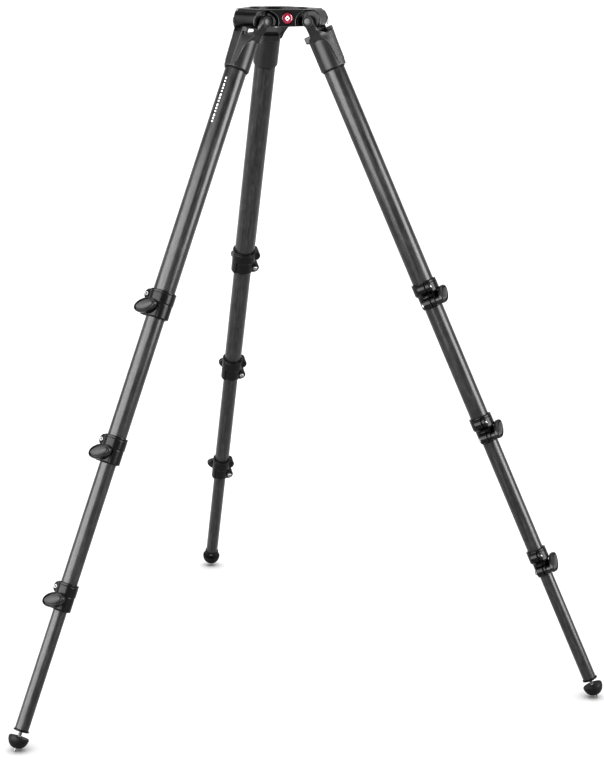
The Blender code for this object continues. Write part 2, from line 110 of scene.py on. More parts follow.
class Nodes:
    """A material's node tree, with short calls to add and join nodes."""

    def __init__(self, name):
        self.material = bpy.data.materials.new(name)
        self.material.use_nodes = True
        self.tree = self.material.node_tree
        self.shader = self.tree.nodes["Principled BSDF"]
        self.coordinates = self.add("ShaderNodeTexCoord").outputs["Object"]

    def add(self, kind, **settings):
        node = self.tree.nodes.new(kind)
        for key, value in settings.items():
            setattr(node, key, value)
        return node

    def join(self, source, target):
        self.tree.links.new(source, target)

    def scaled(self, x, y, z):
        node = self.add("ShaderNodeMapping")
        node.inputs["Scale"].default_value = (x, y, z)
        self.join(self.coordinates, node.inputs["Vector"])
        return node.outputs["Vector"]

    def noise(self, scale, detail=3.0, vector=None):
        node = self.add("ShaderNodeTexNoise")
        node.inputs["Scale"].default_value = scale
        node.inputs["Detail"].default_value = detail
        self.join(vector or self.coordinates, node.inputs["Vector"])
        return node.outputs["Fac"]

    def ramp(self, factor, *stops):
        """Colours at positions, each stop (position, (r, g, b))."""
        node = self.add("ShaderNodeValToRGB")
        elements = node.color_ramp.elements
        while len(elements) < len(stops):
            elements.new(0.5)
        for element, (position, colour) in zip(elements, stops):
            element.position = position
            element.color = (*colour, 1.0)
        self.join(factor, node.inputs["Fac"])
        return node.outputs["Color"]

    def spread(self, factor, low, high):
        node = self.add("ShaderNodeMapRange")
        node.inputs["To Min"].default_value = low
        node.inputs["To Max"].default_value = high
        self.join(factor, node.inputs["Value"])
        return node.outputs["Result"]

    def maths(self, operation, first, second=0.0):
        node = self.add("ShaderNodeMath", operation=operation)
        for socket, value in zip(node.inputs, (first, second)):
            if isinstance(value, (int, float)):
                socket.default_value = value
            else:
                self.join(value, socket)
        return node.outputs["Value"]

    def bump(self, height, strength, distance):
        node = self.add("ShaderNodeBump")
        node.inputs["Strength"].default_value = strength
        node.inputs["Distance"].default_value = distance
        self.join(height, node.inputs["Height"])
        self.join(node.outputs["Normal"], self.shader.inputs["Normal"])

    def set(self, **values):
        for key, value in values.items():
            self.shader.inputs[key.replace("_", " ")].default_value = value


def tone(level, tint=(1.0, 1.0, 1.0)):
    return tuple(level * t for t in tint)


def speckled(name, level, rough, grain=900.0, bump=0.25, contrast=0.35, specular=0.5):
    """A painted or moulded surface: fine grain, slow patches of tone, and varied sheen."""
    made = Nodes(name)
    fine = made.noise(grain, 4.0)
    broad = made.noise(45.0, 3.0)
    both = made.maths("ADD", made.maths("MULTIPLY", fine, 0.5), made.maths("MULTIPLY", broad, 0.5))
    colour = made.ramp(both, (0.30, tone(level * (1 - contrast))), (0.70, tone(level * (1 + contrast))))
    made.join(colour, made.shader.inputs["Base Color"])
    made.join(made.spread(broad, rough - 0.07, rough + 0.07), made.shader.inputs["Roughness"])
    made.bump(fine, bump, 0.1 * MM)
    made.shader.inputs["Specular IOR Level"].default_value = specular
    return made.material


def carbon():
    """Clear-coated carbon cloth: a fine twill round the tube under long faint streaks."""
    made = Nodes("carbon_fibre")
    split = made.add("ShaderNodeSeparateXYZ")
    made.join(made.coordinates, split.inputs["Vector"])
    x, y, z = split.outputs
    angle = made.maths("ARCTAN2", y, x)
    around = made.maths("MULTIPLY", angle, 26.0)
    along = made.maths("MULTIPLY", z, 1500.0)
    twill = made.maths("SINE", made.maths("ADD", around, along))
    cross = made.maths("SINE", made.maths("SUBTRACT", around, along))
    weave = made.maths("MULTIPLY", twill, cross)
    weave = made.maths("ADD", made.maths("MULTIPLY", weave, 0.5), 0.5)
    streaks = made.noise(1.0, 4.0, made.scaled(420.0, 420.0, 16.0))
    mottle = made.noise(1.0, 3.0, made.scaled(160.0, 160.0, 70.0))
    mix = made.maths("ADD", made.maths("MULTIPLY", weave, 0.34), made.maths("MULTIPLY", streaks, 0.40))
    mix = made.maths("ADD", mix, made.maths("MULTIPLY", mottle, 0.26))
    colour = made.ramp(mix, (0.32, tone(0.002)), (0.50, tone(0.009)), (0.68, tone(0.044)))
    made.join(colour, made.shader.inputs["Base Color"])
    made.join(made.spread(streaks, 0.22, 0.40), made.shader.inputs["Roughness"])
    made.bump(mix, 0.35, 0.08 * MM)
    made.shader.inputs["Specular IOR Level"].default_value = 0.4
    made.shader.inputs["Coat Weight"].default_value = 0.15
    made.shader.inputs["Coat Roughness"].default_value = 0.22
    return made.material


def metal(name, level, rough, stretch=(60.0, 60.0, 900.0)):
    """Turned or brushed bright metal with fine lines."""
    made = Nodes(name)
    lines = made.noise(1.0, 4.0, made.scaled(*stretch))
    made.join(made.ramp(lines, (0.3, tone(level * 0.82, (1, 0.99, 0.97))), (0.7, tone(level, (1, 0.99, 0.97)))),
              made.shader.inputs["Base Color"])
    made.join(made.spread(lines, rough - 0.06, rough + 0.08), made.shader.inputs["Roughness"])
    made.bump(lines, 0.1, 0.03 * MM)
    made.shader.inputs["Metallic"].default_value = 1.0
    return made.material


def enamel(name, dark, light, rough):
    """Glossy enamel or print with a slow change of depth."""
    made = Nodes(name)
    depth = made.noise(130.0, 2.0)
    made.join(made.ramp(depth, (0.3, dark), (0.7, light)), made.shader.inputs["Base Color"])
    made.join(made.spread(depth, rough - 0.04, rough + 0.04), made.shader.inputs["Roughness"])
    made.shader.inputs["Coat Weight"].default_value = 0.5
    made.shader.inputs["Coat Roughness"].default_value = 0.08
    return made.material


HUB_PAINT = speckled("hub_paint", 0.0025, 0.29, 1100.0, 0.14, 0.25, 0.26)
# Lighter paint for the raised edge beads: a painted highlight for light caught along the edges.
PAINTED_EDGE_HIGHLIGHT = speckled("painted_edge_highlight", 0.045, 0.28, 1100.0, 0.10, 0.20, 0.5)
BRACKET_PAINT = speckled("bracket_paint", 0.010, 0.36, 1000.0, 0.30, 0.30, 0.42)
LOBE_PAINT = speckled("lobe_paint", 0.020, 0.38, 1000.0, 0.22, 0.18, 0.5)
COLLAR_PAINT = speckled("collar_paint", 0.002, 0.26, 1200.0, 0.14, 0.25, 0.28)
KNOB_SKIN = speckled("knob_skin", 0.042, 0.46, 1300.0, 0.20, 0.16, 0.22)
KNOB_RIM = speckled("knob_rim", 0.010, 0.28, 1300.0, 0.12, 0.20, 0.4)
TAB_PLASTIC = speckled("tab_plastic", 0.030, 0.50, 1300.0, 0.25, 0.2, 0.45)
RUBBER = speckled("foot_rubber", 0.003, 0.48, 700.0, 0.45, 0.35, 0.25)
CARBON = carbon()
STEEL = metal("bright_steel", 0.62, 0.26)
DARK_STEEL = metal("dark_steel", 0.30, 0.32)
BADGE_RED = enamel("badge_red", (0.085, 0.002, 0.012), (0.20, 0.005, 0.030), 0.16)
BADGE_WHITE = enamel("badge_white", (0.72, 0.70, 0.70), (0.86, 0.85, 0.84), 0.3)
PRINT = enamel("white_print", (0.46, 0.46, 0.46), (0.60, 0.60, 0.59), 0.4)

# ---------------------------------------------------------------- mesh tools


def finished(shape, name):
    bmesh.ops.recalc_face_normals(shape, faces=shape.faces)
    mesh = bpy.data.meshes.new(name)
    shape.to_mesh(mesh)
    shape.free()
    return mesh


def skin(shape, rings, closed=False):
    loops = [[shape.verts.new(point) for point in ring] for ring in rings]
    pairs = list(zip(loops, loops[1:]))
    if closed:
        pairs.append((loops[-1], loops[0]))
    count = len(loops[0])
    for upper, lower in pairs:
        for i in range(count):
            j = (i + 1) % count
            shape.faces.new((upper[i], upper[j], lower[j], lower[i]))
    if not closed:
        shape.faces.new(loops[0])
        shape.faces.new(list(reversed(loops[-1])))


def loft(rings, name):
    shape = bmesh.new()
    skin(shape, rings)
    return finished(shape, name)


def ring_of(radius, z, sides):
    return [(radius * cos(2 * pi * i / sides), radius * sin(2 * pi * i / sides), z) for i in range(sides)]


def turned(profile, name, sides=64):
    """A ring turned about Z from a closed (radius, z) outline that stays off the axis."""
    shape = bmesh.new()
    skin(shape, [ring_of(radius, z, sides) for radius, z in profile], closed=True)
    return finished(shape, name)


def spindle(profile, name, sides=48):
    """A solid turned about Z from (radius, z) points, with a flat at each end."""
    return loft([ring_of(radius, z, sides) for radius, z in profile], name)


def block(low, high, name="block"):
    (x0, y0, z0), (x1, y1, z1) = low, high
    return loft([[(x0, y0, z), (x1, y0, z), (x1, y1, z), (x0, y1, z)] for z in (z0, z1)], name)


def moved(mesh, matrix):
    mesh.transform(matrix)
    if matrix.determinant() < 0:
        mesh.flip_normals()
    mesh.update()
    return mesh


def rounded(profile, radius, steps=3):
    """A closed (radius, z) outline with each corner turned into a small arc."""
    points = [Vector(p) for p in profile]
    out = []
    for i, corner in enumerate(points):
        before, after = points[i - 1] - corner, points[(i + 1) % len(points)] - corner
        reach = min(radius, 0.45 * before.length, 0.45 * after.length)
        start, end = corner + before.normalized() * reach, corner + after.normalized() * reach
        for k in range(steps + 1):
            t = k / steps
            out.append(tuple(start * (1 - t) ** 2 + corner * 2 * t * (1 - t) + end * t * t))
    return out


def eased_rows(rows, between=3):
    """Rows of numbers with smooth rows added between them."""
    out = []
    for i in range(len(rows) - 1):
        a, b = rows[max(i - 1, 0)], rows[i]
        c, d = rows[i + 1], rows[min(i + 2, len(rows) - 1)]
        for k in range(between + 1):
            t = k / (between + 1)
            out.append([q + 0.5 * t * (r - p + t * (2 * p - 5 * q + 4 * r - s + t * (3 * (q - r) + s - p)))
                        if 0 < i < len(rows) - 2 else q + (r - q) * t for p, q, r, s in zip(a, b, c, d)])
    out.append(list(rows[-1]))
    return out


def evaluated(mesh, *modifiers):
    """The mesh with modifiers applied, each (type, {setting: value})."""
    body = bpy.data.objects.new("body", mesh)
    bpy.context.scene.collection.objects.link(body)
    for kind, settings in modifiers:
        step = body.modifiers.new(kind.lower(), kind)
        for key, value in settings.items():
            setattr(step, key, value)
    graph = bpy.context.evaluated_depsgraph_get()
    result = bpy.data.meshes.new_from_object(body.evaluated_get(graph))
    bpy.data.objects.remove(body)
    result.name = mesh.name
    return result


def combine(base, *steps):
    """Apply Boolean steps in order, each (operation, mesh)."""
    tools = []
    modifiers = []
    for operation, mesh in steps:
        tool = bpy.data.objects.new("tool", mesh)
        bpy.context.scene.collection.objects.link(tool)
        tools.append(tool)
        modifiers.append(("BOOLEAN", {"solver": "EXACT", "operation": operation, "object": tool}))
    result = evaluated(base, *modifiers)
    for tool in tools:
        bpy.data.objects.remove(tool)
    return result


def cast(mesh, voxel, passes, keep):
    """A casting's soft edges: remeshed evenly, smoothed, then thinned where it is flat."""
    return evaluated(mesh,
                     ("REMESH", {"mode": "VOXEL", "voxel_size": voxel, "use_smooth_shade": True}),
                     ("SMOOTH", {"factor": 0.5, "iterations": passes}),
                     ("DECIMATE", {"decimate_type": "COLLAPSE", "ratio": keep}))


def joined(name, *meshes):
    shape = bmesh.new()
    for mesh in meshes:
        shape.from_mesh(mesh)
    mesh = bpy.data.meshes.new(name)
    shape.to_mesh(mesh)
    shape.free()
    return mesh


def add(name, mesh, finish, body, place, nodes=(), sharp=38):
    """One piece from a mesh: its finish, its body, and the nodes that it stands for."""
    made = bpy.data.objects.new(name, mesh)
    bpy.context.scene.collection.objects.link(made)
    made.matrix_world = place
    if not mesh.materials:
        mesh.materials.append(finish)
        mesh.shade_smooth()
        if sharp:
            mesh.set_sharp_from_angle(angle=radians(sharp))
    if nodes:
        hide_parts(*nodes)
    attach(made, body)
    return made


# ---------------------------------------------------------------- hub


def hinge_line(azimuth):
    return Matrix.Rotation(azimuth, 4, "Z") @ Matrix.Translation((HINGE_RADIUS, 0, 0)) @ ALONG_Y


def hub_panel(azimuth):
    panel = block((46 * MM, -36 * MM, HUB_BOTTOM + 0.6 * MM), (PANEL_FACE, 36 * MM, PLATE_LOW + 0.6 * MM))
    cuts = []
    for turn, low, high in ((-pi / 3, LUG_HALF + 1 * MM, 58 * MM), (pi / 3, -58 * MM, -LUG_HALF - 1 * MM)):
        scallop = spindle(((SCALLOP_RADIUS, low), (SCALLOP_RADIUS, high)), "scallop", 72)
        cuts.append(("DIFFERENCE", moved(scallop, hinge_line(azimuth + turn))))
    return combine(moved(panel, Matrix.Rotation(azimuth, 4, "Z")), *cuts)


def hub_lug(azimuth):
    top, low = PLATE_TOP - 0.2 * MM, HUB_BOTTOM + 0.3 * MM
    face = eased_rows(((LUG_SHOULDER + 0.6 * MM, top), (72.5 * MM, top - 3 * MM), (76.4 * MM, top - 9 * MM),
                       (77.5 * MM, top - 15 * MM), (76.6 * MM, top - 22 * MM), (73.4 * MM, low)))
    outline = [(46 * MM, top), *face, (46 * MM, low)]
    lug = loft([[(x, y, z) for x, z in outline] for y in (-LUG_HALF, LUG_HALF)], "lug")
    return moved(lug, Matrix.Rotation(azimuth, 4, "Z"))


def hub_plate():
    corner = (PANEL_FACE + 0.5 * MM - LUG_SHOULDER * cos(pi / 3)) / sin(pi / 3)
    outline = []
    for azimuth in LEGS.values():
        turn = Matrix.Rotation(azimuth, 4, "Z")
        outline += [turn @ Vector((LUG_SHOULDER, y, 0)) for y in (-corner, corner)]
    return loft([[(v.x, v.y, z) for v in outline] for z in (PLATE_LOW, PLATE_TOP)], "plate")


def hub_mesh():
    ring = spindle(((RIM_RADIUS - 1 * MM, HUB_TOP), (RIM_RADIUS, HUB_TOP - 1 * MM),
                    (RIM_RADIUS, HUB_BOTTOM + 2 * MM), (RIM_RADIUS - 2 * MM, HUB_BOTTOM)), "hub", 128)
    steps = [("UNION", hub_plate())]
    for azimuth in LEGS.values():
        steps.append(("UNION", hub_lug(azimuth)))
        barrel = spindle(((BARREL_RADIUS, 0.3 * MM - LUG_HALF), (BARREL_RADIUS, LUG_HALF - 0.3 * MM)), "barrel", 72)
        steps.append(("UNION", moved(barrel, hinge_line(azimuth))))
        steps.append(("UNION", hub_panel(azimuth + pi / 3)))
    for azimuth in LEGS.values():
        bore = spindle(((PIN_RADIUS + GAP, -45 * MM), (PIN_RADIUS + GAP, 45 * MM)), "bore", 32)
        steps.append(("DIFFERENCE", moved(bore, hinge_line(azimuth))))
    front = Matrix.Rotation(radians(270), 4, "Z") @ ALONG_X
    recess = spindle(((BADGE_RADIUS + GAP, PANEL_FACE - BADGE_DEPTH), (BADGE_RADIUS + GAP, PANEL_FACE + 5 * MM)),
                     "recess", 64)
    centre = Matrix.Translation((0, 0, (HUB_TOP + HUB_BOTTOM) / 2))
    steps.append(("DIFFERENCE", moved(recess, centre @ front)))
    depths = [HUB_TOP + 2 * MM - HUB_BOTTOM + 1 * MM - 30 * MM * i / 10 for i in range(11)]
    seat = [((BOWL_RADIUS ** 2 - depth ** 2) ** 0.5, HUB_TOP + 2 * MM - depth) for depth in depths]
    seat.append((BOWL_RADIUS + 1.2 * MM, HUB_TOP + 3 * MM))
    steps.append(("DIFFERENCE", spindle(seat, "seat", 128)))
    return cast(combine(ring, *steps), 0.75 * MM, 3, 0.45)


def scallop_lip(panel_azimuth, side):
    """The raised lip of a scallop, where its turned face meets the side panel's face."""
    normal = Vector((cos(panel_azimuth), sin(panel_azimuth), 0))
    leg = panel_azimuth + side * pi / 3
    outward, along = Vector((cos(leg), sin(leg), 0)), Vector((-sin(leg), cos(leg), 0))
    path = []
    for k in range(-40, 41):
        a = pi / 2 + side * 0 + k * radians(3.2)
        spot = outward * (HINGE_RADIUS + SCALLOP_RADIUS * cos(a)) + Vector((0, 0, SCALLOP_RADIUS * sin(a)))
        spot += along * ((PANEL_FACE - 0.1 * MM - normal.dot(spot)) / normal.dot(along))
        if HUB_BOTTOM + 1.2 * MM < spot.z < PLATE_LOW - 0.4 * MM and abs(along.dot(spot)) < 46 * MM:
            path.append(spot)
    return path


def wire(paths, radius, name):
    """Round beads along open paths, as one mesh."""
    curve = bpy.data.curves.new(name, "CURVE")
    curve.dimensions = "3D"
    curve.bevel_depth, curve.bevel_resolution, curve.use_fill_caps = radius, 3, True
    for path in paths:
        spline = curve.splines.new("POLY")
        spline.points.add(len(path) - 1)
        for point, spot in zip(spline.points, path):
            point.co = (*spot, 1.0)
    body = bpy.data.objects.new(name, curve)
    bpy.context.scene.collection.objects.link(body)
    mesh = bpy.data.meshes.new_from_object(body.evaluated_get(bpy.context.evaluated_depsgraph_get()))
    bpy.data.objects.remove(body)
    return mesh


def on_front(mesh):
    """Bring a mesh made about Z onto the hub's front panel, facing out."""
    centre = Matrix.Translation((0, 0, (HUB_TOP + HUB_BOTTOM) / 2))
    return moved(mesh, centre @ Matrix.Rotation(radians(270), 4, "Z") @ ALONG_X)


def build_hub():
    add("hub_body", hub_mesh(), HUB_PAINT, "hub", HUB, ("hub",), sharp=0)
    paths = []
    for azimuth in LEGS.values():
        for side in (1, -1):
            run = []
            for spot in scallop_lip(azimuth + pi / 3, side):
                if run and (spot - run[-1]).length > 4 * MM:
                    paths.append(run)
                    run = []
                run.append(spot)
            paths.append(run)
    paths = [path for path in paths if len(path) > 2]
    # The lips take the lighter edge paint: a painted highlight along the scallop rims.
    add("scallop_lips", wire(paths, 0.55 * MM, "lips"), PAINTED_EDGE_HIGHLIGHT, "hub", HUB)
    back = PANEL_FACE - BADGE_DEPTH + GAP
    face = PANEL_FACE + 1.0 * MM
    disc = spindle(((BADGE_RADIUS - 0.6 * MM, back), (BADGE_RADIUS - 0.6 * MM, PANEL_FACE + 0.2 * MM),
                    (BADGE_RADIUS - 1.4 * MM, face - 0.2 * MM), (BADGE_RADIUS - 4 * MM, face),
                    (1 * MM, face + 0.15 * MM)), "badge_disc", 64)
    add("badge_disc", on_front(disc), BADGE_RED, "hub", HUB, ("badge",))
    bezel = turned(rounded(((BADGE_RADIUS, back), (BADGE_RADIUS, face), (BADGE_RADIUS - 0.55 * MM, face),
                            (BADGE_RADIUS - 0.55 * MM, back)), 0.2 * MM), "badge_bezel")
    add("badge_bezel", on_front(bezel), HUB_PAINT, "hub", HUB)
    # A plain diamond outline, raised a little from the disc.
    outer, inner = 4.4 * MM, 2.3 * MM
    shape = bmesh.new()
    skin(shape, [[(r * cos(k * pi / 2), r * 0.86 * sin(k * pi / 2), z) for k in range(4)]
                 for r, z in ((outer, face - 0.1 * MM), (outer, face + 0.35 * MM),
                              (inner, face + 0.35 * MM), (inner, face - 0.1 * MM))], closed=True)
    add("badge_emblem", on_front(finished(shape, "badge_emblem")), BADGE_WHITE, "hub", HUB)
    # A machined ring round the seat's lip.
    lip = turned(rounded(((BOWL_RADIUS + 0.7 * MM, HUB_TOP - 0.4 * MM), (BOWL_RADIUS + 0.7 * MM, HUB_TOP + 0.05 * MM),
                          (BOWL_RADIUS + 3.0 * MM, HUB_TOP + 0.05 * MM), (BOWL_RADIUS + 3.0 * MM, HUB_TOP - 0.4 * MM)),
                         0.15 * MM), "seat_lip", 128)
    add("seat_lip", lip, DARK_STEEL, "hub", HUB)


# ---------------------------------------------------------------- leg top


# Down the shield: drop, edge x and y, middle x and y, in millimetres
SHIELD_ROWS = ((25.5, 7.4, 24.4, 22.6, 9.6), (30, 8.8, 23.0, 22.6, 9.4), (38, 12.6, 20.2, 22.4, 8.8),
               (50, 15.9, 16.0, 22.1, 8.0), (84.6, 17.6, 12.2, 21.9, 6.4))


def shield_ring(drop, edge_x, edge_y, middle_x, middle_y):
    between = (edge_x + 0.35 * (middle_x - edge_x), edge_y * 0.62 + middle_y * 0.38)
    half = [(middle_x, middle_y), between, (edge_x, edge_y), (edge_x - 4 * MM, edge_y - 0.5 * MM),
            (-2 * MM, min(edge_y, 17 * MM) - 4 * MM)]
    return [(x, y, -drop) for x, y in half] + [(x, -y, -drop) for x, y in reversed(half)]


def arm_ring(drop, back, edge_x, inner_y, edge_y, inner_x):
    return [(back, inner_y, -drop), (inner_x, inner_y, -drop), (edge_x, edge_y, -drop),
            (back + 1.5 * MM, edge_y, -drop)]


def bracket_mesh():
    socket = spindle(((19.6 * MM, -WEB_TOP - 0.5 * MM), (21.0 * MM, -WEB_TOP - 3 * MM),
                      (21.0 * MM, -SOCKET_END + 1 * MM), (20.2 * MM, -SOCKET_END)), "bracket", 72)
    parts = [socket, loft([shield_ring(*(v * MM for v in row)) for row in eased_rows(SHIELD_ROWS)], "shield")]
    stations = ((0, -9.2, 9.2, 27.1, 37.4, 9.2), (10, -8.9, 7.5, 26.4, 34.0, 8.6),
                (17, -9.4, 5.8, 25.6, 29.2, 10.0), (20.8, -10.2, 6.4, 24.0, 26.8, 12.0),
                (24, -11.0, 7.0, 18.0, 24.8, 15.2), (27, -11.8, 7.6, 13.0, 23.7, 18.2),
                (33, -12.5, 8.6, 8.0, 21.2, 15.0))
    for side in (1, -1):
        flip = Matrix.Scale(side, 4, (0, 1, 0))
        arm = loft([arm_ring(*(v * MM for v in row)) for row in stations], "arm")
        lobe = spindle(((LOBE_RADIUS, LOBE_INNER), (LOBE_RADIUS, LOBE_OUTER - 0.6 * MM),
                        (LOBE_RADIUS - 0.6 * MM, LOBE_OUTER)), "lobe", 64)
        parts += [moved(arm, flip), moved(moved(lobe, ALONG_Y), flip)]
    parts.append(block((-23.5 * MM, -13.4 * MM, -32 * MM), (-8 * MM, 13.4 * MM, -21 * MM)))
    # Overlapping solids become one under an even remesh, and the holes are cut from that.
    solid = evaluated(joined("bracket", *parts), ("REMESH", {"mode": "VOXEL", "voxel_size": 0.8 * MM}))
    steps = []
    hole = spindle(((TUBE_RADII[0] + GAP, -TUBE_TOPS[0] + GAP), (TUBE_RADII[0] + GAP, -0.1)), "hole", 72)
    steps.append(("DIFFERENCE", hole))
    pin_hole = spindle(((PIN_RADIUS + GAP, -0.05), (PIN_RADIUS + GAP, 0.05)), "pin_hole", 32)
    steps.append(("DIFFERENCE", moved(pin_hole, ALONG_Y)))
    counter = PIN_HEAD_RADIUS + GAP
    neck = LOBE_OUTER - PIN_HEAD - 0.6 * MM
    for low, high in ((neck, 0.05), (-0.05, -neck)):
        tool = spindle(((counter, low), (counter, high)), "counterbore", 48)
        steps.append(("DIFFERENCE", moved(tool, ALONG_Y)))
    steps.append(("DIFFERENCE", block((1.4 * MM, 9.2 * MM, -30.4 * MM), (22.5 * MM, 13.8 * MM, -20 * MM))))
    return cast(combine(solid, *steps), 0.65 * MM, 3, 0.45)


def shield_beads():
    """Slim raised edges down the shield: one pair on its middle, one pair on its sides."""
    paths = []
    for side in (1, -1):
        rows = eased_rows(SHIELD_ROWS)[:-1]
        paths.append([Vector((mx, side * my, -drop)) * MM for drop, ex, ey, mx, my in rows])
        paths.append([Vector((ex, side * ey, -drop)) * MM for drop, ex, ey, mx, my in rows])
    return wire(paths, 0.5 * MM, "shield_beads")


def pin_mesh():
    """The hinge pin, with a plain domed cap at each end."""
    half = LOBE_OUTER - 0.3 * MM
    neck = half - PIN_HEAD
    end = [(1.0 * MM, half + 0.9 * MM), (3.6 * MM, half + 0.6 * MM), (5.6 * MM, half + 0.1 * MM),
           (6.9 * MM, half - 0.5 * MM), (PIN_HEAD_RADIUS, half - 1.0 * MM), (PIN_HEAD_RADIUS, neck),
           (PIN_RADIUS, neck)]
    profile = end + [(r, -y) for r, y in reversed(end)]
    return moved(spindle(profile, "pin", 48), ALONG_Y)


def selector_mesh():
    """The angle selector's thumb tab, with three finger ridges."""
    tab = block((14.0 * MM, 7.0 * MM, -25.2 * MM), (22.2 * MM, 14.2 * MM, -17.6 * MM), "selector")
    tongue = block((2 * MM, 9.5 * MM, -29.8 * MM), (18 * MM, 13.5 * MM, -24 * MM))
    steps = [("UNION", tongue)]
    for k in range(3):
        z = -24.0 * MM + k * 2.2 * MM
        steps.append(("UNION", block((21.6 * MM, 7.6 * MM, z), (22.4 * MM, 13.6 * MM, z + 1.0 * MM))))
    return evaluated(combine(tab, *steps), ("BEVEL", {"width": 0.3 * MM, "segments": 2, "use_clamp_overlap": False}))


# ---------------------------------------------------------------- clamps


def knob_back(upper):
    return KNOB_BASE - TUBE_RADII[0] + upper


def ear_outer(upper):
    return knob_back(upper) - BOSS


def bolt_line(upper):
    return upper + 2.8 * MM


def ear(upper, wall_middle, middle):
    line = bolt_line(upper)
    outline = []
    for k in range(19):
        a = radians(90 + 10 * k)
        outline.append((-line - 7.5 * MM + EAR_HALF + EAR_HALF * cos(a), middle + EAR_HALF * sin(a)))
    outline += [(-0.5 * upper, middle - EAR_HALF), (-0.5 * upper, middle + EAR_HALF)]
    lump = loft([[(x, y, z) for y, z in outline] for x in (EAR_INNER, ear_outer(upper))], "ear")
    inside = spindle(((wall_middle, middle - 2 * EAR_HALF), (wall_middle, middle + 2 * EAR_HALF)), "inside", 64)
    return combine(lump, ("DIFFERENCE", inside))


def spine(inner, outer):
    """The collar's straight back, opposite the ears."""
    wide = [(outer * cos(a), outer * sin(a)) for a in (radians(52 + 76 * i / 18) for i in range(19))]
    deep = [(inner * cos(a), inner * sin(a)) for a in (radians(128 - 76 * i / 12) for i in range(13))]
    return loft([[(x, y, z) for x, y in wide + deep] for z in (-SEAT - 0.8 * MM, 1.4 * MM - CLAMP_LENGTH)], "spine")


def collar_mesh(upper, lower):
    outer, sleeve, seat = upper + BAND_WALL, lower + SLEEVE_WALL, SEAT + GAP
    ring = turned(((outer, 0), (outer, -19.5 * MM), (sleeve, -22.5 * MM), (sleeve, -CLAMP_LENGTH + 3 * MM),
                   (sleeve - 1.6 * MM, -CLAMP_LENGTH), (lower + GAP, -CLAMP_LENGTH), (lower + GAP, -seat),
                   (upper + GAP, -seat), (upper + GAP, 0)), "collar", 96)
    hole = moved(spindle(((BOLT_RADIUS + GAP, -0.03), (BOLT_RADIUS + GAP, 0.03)), "hole", 32), ALONG_X)
    slit = upper / 3
    # A shallow groove round the upper band, clear of the ear's root
    groove = turned(((outer + 1 * MM, -3.2 * MM), (outer + 1 * MM, -4.4 * MM), (outer - 0.7 * MM, -4.4 * MM),
                     (outer - 0.7 * MM, -3.2 * MM)), "groove", 96)
    whole = combine(
        ring,
        ("DIFFERENCE", groove),
        ("UNION", spine(lower + SLEEVE_WALL / 2, outer - 0.4 * MM)),
        ("UNION", ear(upper, upper + BAND_WALL / 2, -10.3 * MM)),
        ("UNION", ear(upper, lower + SLEEVE_WALL / 2, -BOLT_DROP)),
        ("DIFFERENCE", block((slit - SLIT / 2, -0.05, -0.06), (slit + SLIT / 2, -5 * MM, 0.01))),
        ("DIFFERENCE", moved(hole, Matrix.Translation((0, -bolt_line(upper), -BOLT_DROP)))))
    return cast(whole, 0.5 * MM, 3, 0.30)


def screw_head(radius, height, socket, name):
    """A cap screw's head about Z, its flat at z = 0, with a hexagonal socket."""
    head = spindle(((radius, 0), (radius, height - 0.4 * MM), (radius - 0.4 * MM, height)), name, 36)
    tool = spindle(((socket, height - 1.6 * MM), (socket, height + 1 * MM)), "socket", 6)
    return combine(head, ("DIFFERENCE", tool))


def clamp_hardware(upper):
    """The clamp's nut, washer and bolt, along the outward direction from the bolt's line."""
    nut_face = EAR_INNER - GAP
    nut = spindle(((3.7 * MM, nut_face - 3.4 * MM), (4.2 * MM, nut_face - 3.0 * MM), (4.2 * MM, nut_face - 0.5 * MM)),
                  "nut", 6)
    washer = spindle(((4.6 * MM, nut_face - 0.5 * MM), (4.6 * MM, nut_face)), "washer", 40)
    shank = spindle(((BOLT_RADIUS, nut_face), (BOLT_RADIUS, knob_back(upper) + 5 * MM)), "shank", 32)
    return moved(joined("hardware", nut, washer, shank), ALONG_X)


def oval(x, length, width, sides=72):
    middle = KNOB_LENGTH / 2 - KNOB_END
    return [(x, middle + length / 2 * cos(2 * pi * i / sides), width / 2 * sin(2 * pi * i / sides))
            for i in range(sides)]


def knob_rows(back, rows, name):
    """A lofted oval body from (height, inset) rows above the knob's back face, in millimetres."""
    rings = [oval(back + h * MM, KNOB_LENGTH - 2 * inset * MM, KNOB_WIDTH - 2 * inset * MM) for h, inset in rows]
    return moved(loft(rings, name), Matrix.Rotation(KNOB_TILT, 4, "X"))


def knob_meshes(upper):
    """The knob's dark body with its boss, and the lighter domed face set into its rim."""
    back = knob_back(upper)
    body = knob_rows(back, ((0, 1.0), (0.4, 0.4), (1.2, 0.1), (4.4, 0.0), (6.2, 0.4), (7.2, 1.1), (7.6, 1.8),
                            (7.3, 2.3), (4.8, 2.7)), "knob_body")
    start = ear_outer(upper) + GAP
    boss = moved(spindle(((5.2 * MM, start), (5.6 * MM, start + 0.4 * MM), (5.6 * MM, back + 2 * MM)), "boss", 40),
                 ALONG_X)
    hole = moved(spindle(((BOLT_RADIUS + GAP, 0), (BOLT_RADIUS + GAP, back + 5.4 * MM)), "hole", 32), ALONG_X)
    face = knob_rows(back, ((4.6, 4.7), (6.6, 4.8), (7.5, 5.4), (8.3, 6.6), (9.0, 8.2), (9.4, 10.0), (9.6, 11.8)),
                     "knob_face")
    return combine(body, ("UNION", boss), ("DIFFERENCE", hole)), face


# ---------------------------------------------------------------- feet


def threaded(radius, depth, pitch, low, high, name, sides=28, per_turn=8):
    """A rod about Z with a real helical thread."""
    count = int((high - low) / pitch * per_turn)
    rings = []
    for k in range(count + 1):
        z = low + (high - low) * k / count
        fade = min(1.0, k / 6, (count - k) / 6)
        ring = []
        for i in range(sides):
            a = 2 * pi * i / sides
            wave = asin(sin(a - 2 * pi * z / pitch)) / (pi / 2)
            r = radius - depth / 2 * fade + depth / 2 * fade * wave
            ring.append((r * cos(a), r * sin(a), z))
        rings.append(ring)
    return loft(rings, name)


